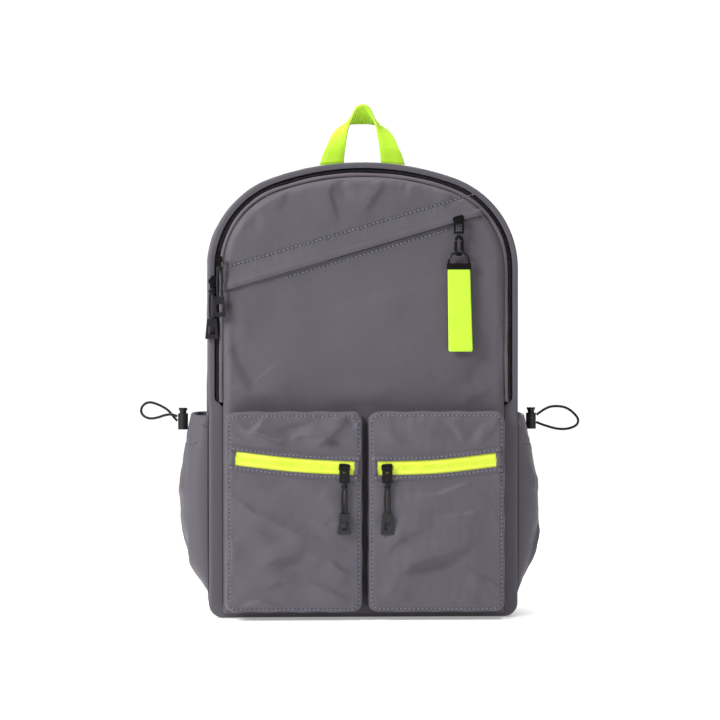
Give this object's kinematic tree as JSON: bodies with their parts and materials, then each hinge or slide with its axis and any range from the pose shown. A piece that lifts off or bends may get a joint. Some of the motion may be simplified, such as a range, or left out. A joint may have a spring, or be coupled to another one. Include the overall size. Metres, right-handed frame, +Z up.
{
  "type": "backpack",
  "caption": "Day backpack with an arched front opening, diagonal flap pocket, two zipped front pockets, drawcord side pockets, haul handle and padded straps.",
  "frame": {"origin": "middle of the base's underside, midway between the front panel and the back panel", "axes": "+Z up towards the haul handle, -Y towards the front panel, +X towards the viewer's right when the front is seen"},
  "size_m": [0.4399, 0.2119, 0.5081],
  "materials": {
    "shell_fabric": "smooth coated polyester, soft sheen",
    "mesh_fabric": "spacer mesh over foam",
    "lining": "plain woven lining over foam",
    "piping": "rolled edge binding",
    "black_zip": "woven tape with coil teeth",
    "lime_zip": "woven tape with coil teeth",
    "lime_webbing": "ribbed woven webbing",
    "black_webbing": "ribbed woven webbing",
    "shock_cord": "braided elastic cord",
    "black_plastic": "moulded, satin",
    "black_metal": "black plated, satin",
    "spring_steel": "bright wire"
  },
  "bodies": {
    "bag": {"back_panel": "mesh_fabric", "back_padding": "mesh_fabric", "gusset": "shell_fabric", "base_panel": "shell_fabric", "lower_front_panel": "shell_fabric", "main_zip_rear_tape": "black_zip", "laptop_sleeve": "lining", "side_pocket_left": "shell_fabric", "side_pocket_right": "shell_fabric", "pocket_hem_left": "shell_fabric", "pocket_hem_right": "shell_fabric", "cord_lock_left": "black_plastic", "cord_lock_right": "black_plastic", "lock_spring_left": "spring_steel", "lock_spring_right": "spring_steel", "drawcord_left": "shock_cord", "drawcord_right": "shock_cord", "front_pocket_left": "shell_fabric", "front_pocket_right": "shell_fabric", "pocket_zip_left": "lime_zip", "pocket_zip_right": "lime_zip", "strap_yoke": "mesh_fabric", "shoulder_strap_left": "mesh_fabric", "shoulder_strap_right": "mesh_fabric", "strap_anchors": "shell_fabric", "adjuster_webbing_left": "black_webbing", "adjuster_webbing_right": "black_webbing", "ladder_lock_left": "black_plastic", "ladder_lock_right": "black_plastic"},
    "button_left": {"lock_button_left": "black_plastic"},
    "button_right": {"lock_button_right": "black_plastic"},
    "handle": {"haul_handle": "lime_webbing"},
    "flap": {"upper_front_panel": "shell_fabric", "panel_piping": "piping", "main_zip_front_tape": "black_zip", "diagonal_flap": "shell_fabric", "diagonal_zip": "black_zip"},
    "upper_slider_body": {"upper_slider": "black_metal"},
    "upper_pull": {"upper_pull_link": "black_metal", "upper_pull_cord": "shock_cord", "upper_pull_tip": "black_plastic"},
    "lower_slider_body": {"lower_slider": "black_metal"},
    "lower_pull": {"lower_pull_link": "black_metal", "lower_pull_cord": "shock_cord", "lower_pull_tip": "black_plastic"},
    "left_slider_body": {"left_slider": "black_metal"},
    "left_pull": {"left_pull_tab": "black_metal", "left_pull_cord": "shock_cord", "left_pull_tip": "black_plastic"},
    "right_slider_body": {"right_slider": "black_metal"},
    "right_pull": {"right_pull_tab": "black_metal", "right_pull_cord": "shock_cord", "right_pull_tip": "black_plastic"},
    "diagonal_slider_body": {"diagonal_slider": "black_metal"},
    "diagonal_frame": {"diagonal_pull": "black_metal"},
    "clasp": {"clasp_body": "black_metal"},
    "gate": {"clasp_gate": "black_metal"},
    "key_tab": {"key_ring": "black_metal", "key_crimp": "black_metal", "key_webbing": "lime_webbing"}
  },
  "joints": [
    {"name": "front_opens", "type": "hinge", "parent": "bag", "child": "flap", "pos_m": [0, -0.058, 0.209], "axis": [1, 0, 0], "range_deg": [0, 70]},
    {"name": "handle_fold", "type": "hinge", "parent": "bag", "child": "handle", "pos_m": [0, -0.025, 0.4515], "axis": [1, 0, 0], "range_deg": [-60, 60], "stiffness_Nm_per_rad": 0.05},
    {"name": "button_left_press", "type": "slide", "parent": "bag", "child": "button_left", "axis": [0, 0, -1], "range_m": [0, 0.003], "stiffness_N_per_m": 300, "deforming": ["lock_spring_left"]},
    {"name": "button_right_press", "type": "slide", "parent": "bag", "child": "button_right", "axis": [0, 0, -1], "range_m": [0, 0.003], "stiffness_N_per_m": 300, "deforming": ["lock_spring_right"]},
    {"name": "lower_slider_run", "type": "slide", "parent": "bag", "child": "lower_slider_body", "axis": [0, 0, -1], "range_m": [0, 0.114]},
    {"name": "lower_pull_swing", "type": "hinge", "parent": "lower_slider_body", "child": "lower_pull", "pos_m": [-0.15, -0.0523, 0.332], "axis": [0, 1, 0], "range_deg": [0, 60]},
    {"name": "upper_slider_run", "type": "hinge", "parent": "flap", "child": "upper_slider_body", "pos_m": [-0.058, -0.0523, 0.345], "axis": [0, 1, 0], "range_deg": [-6, 64]},
    {"name": "upper_pull_hang", "type": "hinge", "parent": "upper_slider_body", "child": "upper_pull", "pos_m": [-0.14253, -0.0523, 0.35389], "axis": [0, 1, 0], "range_deg": [-64, 6]},
    {"name": "left_slider_run", "type": "slide", "parent": "bag", "child": "left_slider_body", "axis": [-0.9962, 0, 0.0872], "range_m": [0, 0.1]},
    {"name": "left_pull_swing", "type": "hinge", "parent": "left_slider_body", "child": "left_pull", "pos_m": [-0.02095, -0.09175, 0.15005], "axis": [1, 0, 0], "range_deg": [-150, 0]},
    {"name": "right_slider_run", "type": "slide", "parent": "bag", "child": "right_slider_body", "axis": [0.9976, 0, 0.0698], "range_m": [0, 0.1]},
    {"name": "right_pull_swing", "type": "hinge", "parent": "right_slider_body", "child": "right_pull", "pos_m": [0.02097, -0.09175, 0.14984], "axis": [1, 0, 0], "range_deg": [-150, 0]},
    {"name": "diagonal_slider_run", "type": "slide", "parent": "flap", "child": "diagonal_slider_body", "axis": [-0.9593, 0, -0.2823], "range_m": [0, 0.12]},
    {"name": "diagonal_frame_swing", "type": "hinge", "parent": "diagonal_slider_body", "child": "diagonal_frame", "pos_m": [0.093, -0.06625, 0.3929], "axis": [1, 0, 0], "range_deg": [-50, 0]},
    {"name": "clasp_swing", "type": "hinge", "parent": "diagonal_frame", "child": "clasp", "pos_m": [0.093, -0.06625, 0.3798], "axis": [1, 0, 0], "range_deg": [-50, 0]},
    {"name": "gate_opens", "type": "hinge", "parent": "clasp", "child": "gate", "pos_m": [0.08959, -0.07031, 0.3626], "axis": [-0.766, 0.6428, 0], "range_deg": [0, 20], "stiffness_Nm_per_rad": 0.01},
    {"name": "key_tab_swing", "type": "hinge", "parent": "clasp", "child": "key_tab", "pos_m": [0.093, -0.06625, 0.3608], "axis": [1, 0, 0], "range_deg": [-50, 0]}
  ],
  "couplings": [
    {"joint": "upper_pull_hang", "follows": "upper_slider_run", "ratio": -1}
  ]
}
